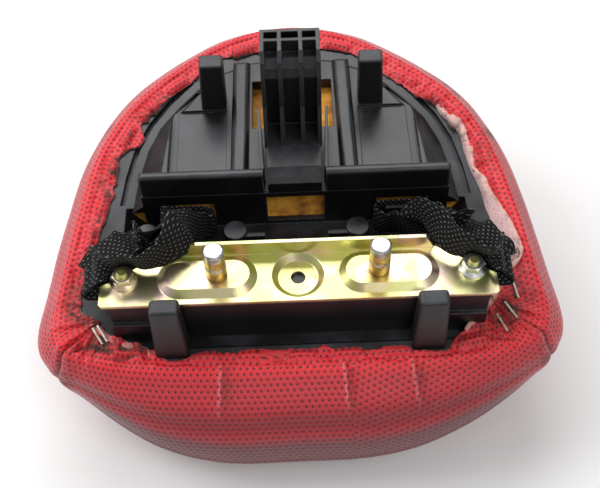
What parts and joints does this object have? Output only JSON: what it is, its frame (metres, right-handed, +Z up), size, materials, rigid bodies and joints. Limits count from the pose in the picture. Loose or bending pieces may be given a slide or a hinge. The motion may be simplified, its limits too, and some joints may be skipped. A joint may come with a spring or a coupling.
{
  "type": "motorcycle pillion seat",
  "caption": "Motorcycle passenger seat lying upside down: vinyl cushion, moulded pan, plated latch bracket with pins, hook tongue, stand-off blocks and folding webbing loops.",
  "frame": {"origin": "centre of the seat's footprint, on the ground plane that the crown of the cushion lies on", "axes": "+Z up out of the pan (the seat is stored underside up), +X across the seat towards the flange nut that shows silver, +Y towards the hook tongue"},
  "size_m": [0.2904, 0.2628, 0.164],
  "materials": {
    "pan_plastic": "satin moulded polypropylene",
    "foam": "open moulded polyurethane foam",
    "vinyl": "semi-gloss dotted vinyl",
    "staple_steel": "plain wire",
    "zinc_plate": "yellow zinc plating",
    "pin_steel": "worn yellow zinc plating",
    "bolt_zinc": "yellow zinc plating",
    "nut_yellow": "yellow zinc plating",
    "nut_silver": "clear zinc plating",
    "bumper_rubber": "satin",
    "webbing": "woven nylon"
  },
  "bodies": {
    "seat": {"seat_pan": "pan_plastic", "bracket_box": "pan_plastic", "cross_wall_left": "pan_plastic", "cross_wall_right": "pan_plastic", "rear_tongue": "pan_plastic", "foam_cushion": "foam", "cover_top": "vinyl", "cover_front": "vinyl", "cover_side_band": "vinyl", "cover_staples": "staple_steel", "lock_bracket": "zinc_plate", "lock_pin_left": "pin_steel", "lock_pin_right": "pin_steel", "bracket_bolt_left": "bolt_zinc", "bracket_bolt_right": "bolt_zinc", "flange_nut_left": "nut_yellow", "flange_nut_right": "nut_silver", "front_bumper_left": "bumper_rubber", "front_bumper_right": "bumper_rubber", "rear_bumper_left": "bumper_rubber", "rear_bumper_right": "bumper_rubber", "strap_tail_left": "webbing", "strap_tail_right": "webbing"},
    "strap_left": {"strap_loop_left": "webbing"},
    "strap_right": {"strap_loop_right": "webbing"}
  },
  "joints": [
    {"name": "strap_left_fold", "type": "hinge", "parent": "seat", "child": "strap_left", "pos_m": [-0.1065, -0.05717, 0.1063], "axis": [0, -1, 0], "range_deg": [0, 120]},
    {"name": "strap_right_fold", "type": "hinge", "parent": "seat", "child": "strap_right", "pos_m": [0.1065, -0.05717, 0.1063], "axis": [0, 1, 0], "range_deg": [0, 120]}
  ]
}
